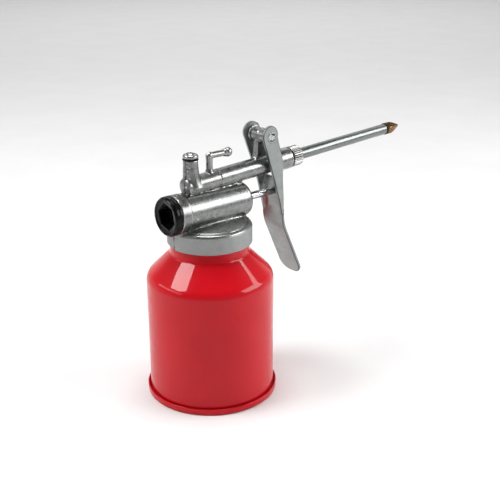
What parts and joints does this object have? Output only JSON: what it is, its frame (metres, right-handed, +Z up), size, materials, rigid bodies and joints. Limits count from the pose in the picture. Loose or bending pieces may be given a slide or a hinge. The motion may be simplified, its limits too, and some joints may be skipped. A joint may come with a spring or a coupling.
{
  "type": "trigger oil can",
  "caption": "Hand oiler: round steel can with a screw-on cast pump head, squeeze lever, plunger pump with check valves, knurled spout nut and rigid spout with a brass tip.",
  "frame": {"origin": "middle of the can's base, in the plane that it stands on", "axes": "+X from the can towards the spout, +Z up, Y across the lever; XZ is the plane of symmetry"},
  "size_m": [0.1739, 0.069, 0.1388],
  "materials": {
    "red_paint": "gloss enamel",
    "cast_aluminium": "tumbled die casting",
    "zinc_steel": "zinc plated sheet, satin",
    "bright_steel": "ground and polished",
    "spring_steel": "drawn wire",
    "bright_plating": "bright nickel plating",
    "spout_steel": "nickel plated tube",
    "brass": "turned",
    "tip_brass": "turned, darkened",
    "black_plastic": "gloss moulding",
    "clear_plastic": "translucent hose",
    "fibre": "vulcanised fibre",
    "rubber": "matt black"
  },
  "bodies": {
    "can": {"can_shell": "red_paint", "can_base": "red_paint"},
    "gasket": {"neck_gasket": "rubber"},
    "head": {"pump_head": "cast_aluminium", "rod_bush": "brass", "rear_plug": "black_plastic", "rear_plug_seal": "rubber", "valve_cap": "bright_plating", "valve_cap_seal": "rubber", "outlet_spring": "spring_steel", "inlet_seat": "brass", "suction_tube": "clear_plastic", "suction_strainer": "brass", "return_spring": "spring_steel", "spout_washer": "fibre"},
    "inlet_valve": {"inlet_ball": "bright_steel"},
    "outlet_valve": {"outlet_ball": "bright_steel"},
    "plunger": {"plunger_rod": "bright_steel", "piston": "brass", "piston_seal": "rubber"},
    "lever": {"trigger_lever": "zinc_steel", "pivot_rivet": "bright_plating", "pivot_washers": "bright_plating"},
    "spout": {"spout_tube": "spout_steel", "tip_seal": "rubber", "spout_tip": "tip_brass", "outlet_seal": "rubber"},
    "nut": {"spout_nut": "bright_plating"}
  },
  "joints": [
    {"name": "head_turn", "type": "hinge", "parent": "can", "child": "gasket", "pos_m": [0, 0, 0.0885], "axis": [0, 0, 1], "range_deg": [0, 720]},
    {"name": "head_lift", "type": "slide", "parent": "gasket", "child": "head", "axis": [0, 0, 1], "range_m": [0, 0.095]},
    {"name": "lever_squeeze", "type": "hinge", "parent": "head", "child": "lever", "pos_m": [0.0349, 0, 0.1324], "axis": [0, 1, 0], "range_deg": [0, 14]},
    {"name": "plunger_slide", "type": "slide", "parent": "head", "child": "plunger", "axis": [-1, 0, 0], "range_m": [0, 0.0077], "stiffness_N_per_m": 30, "springref_m": -0.01, "deforming": ["return_spring"]},
    {"name": "inlet_ball_lift", "type": "slide", "parent": "head", "child": "inlet_valve", "axis": [0, 0, 1], "range_m": [0, 0.002]},
    {"name": "outlet_ball_lift", "type": "slide", "parent": "head", "child": "outlet_valve", "axis": [0, 0, 1], "range_m": [0, 0.0012], "stiffness_N_per_m": 60, "springref_m": -0.002, "deforming": ["outlet_spring"]},
    {"name": "spout_off", "type": "slide", "parent": "head", "child": "spout", "axis": [0.9986, 0, 0.0523], "range_m": [0, 0.02]},
    {"name": "nut_spin", "type": "hinge", "parent": "spout", "child": "nut", "pos_m": [0.05343, 0, 0.1172], "axis": [0.9986, 0, 0.0523], "continuous": true}
  ],
  "couplings": [
    {"joint": "plunger_slide", "follows": "lever_squeeze", "m_per_rad": 0.0313}
  ]
}
